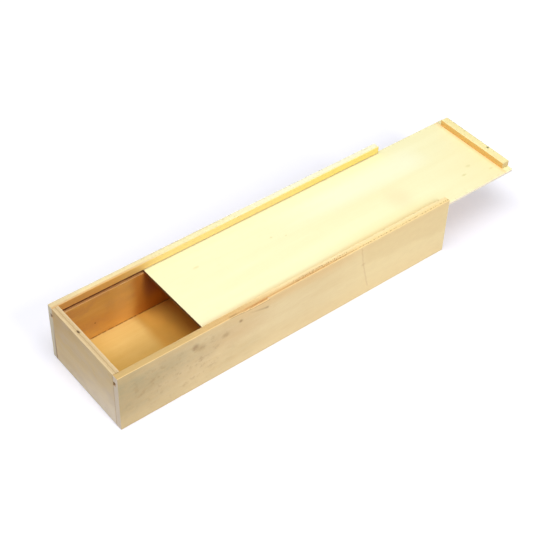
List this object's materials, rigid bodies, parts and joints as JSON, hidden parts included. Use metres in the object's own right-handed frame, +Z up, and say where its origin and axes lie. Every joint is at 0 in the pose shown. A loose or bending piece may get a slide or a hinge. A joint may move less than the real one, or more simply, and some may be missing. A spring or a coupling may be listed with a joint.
{
  "type": "sliding lid box",
  "caption": "Long shallow plywood box whose thin lid slides in grooves along the sides, with a batten as a finger hold.",
  "frame": {"origin": "centre of the case's underside, on the surface that the box stands on", "axes": "+X along the box, the way the lid pulls out; +Y towards the far side wall; +Z up"},
  "size_m": [0.431, 0.1, 0.059],
  "materials": {
    "case_plywood": "bare sanded three-ply plywood",
    "bottom_plywood": "bare sanded thin plywood",
    "lid_plywood": "bare sanded thin plywood",
    "batten_wood": "bare planed softwood",
    "pin_steel": "dull steel"
  },
  "bodies": {
    "case": {"side_near": "case_plywood", "side_far": "case_plywood", "end_closed": "case_plywood", "end_open": "case_plywood", "bottom_panel": "bottom_plywood", "closed_end_brads": "pin_steel", "open_end_brads": "pin_steel", "bottom_brads": "pin_steel"},
    "lid": {"lid_panel": "lid_plywood", "lid_batten": "batten_wood", "batten_pins": "pin_steel"}
  },
  "joints": [
    {"name": "lid_slide", "type": "slide", "parent": "case", "child": "lid", "axis": [1, 0, 0], "range_m": [-0.084, 0.2544]}
  ]
}
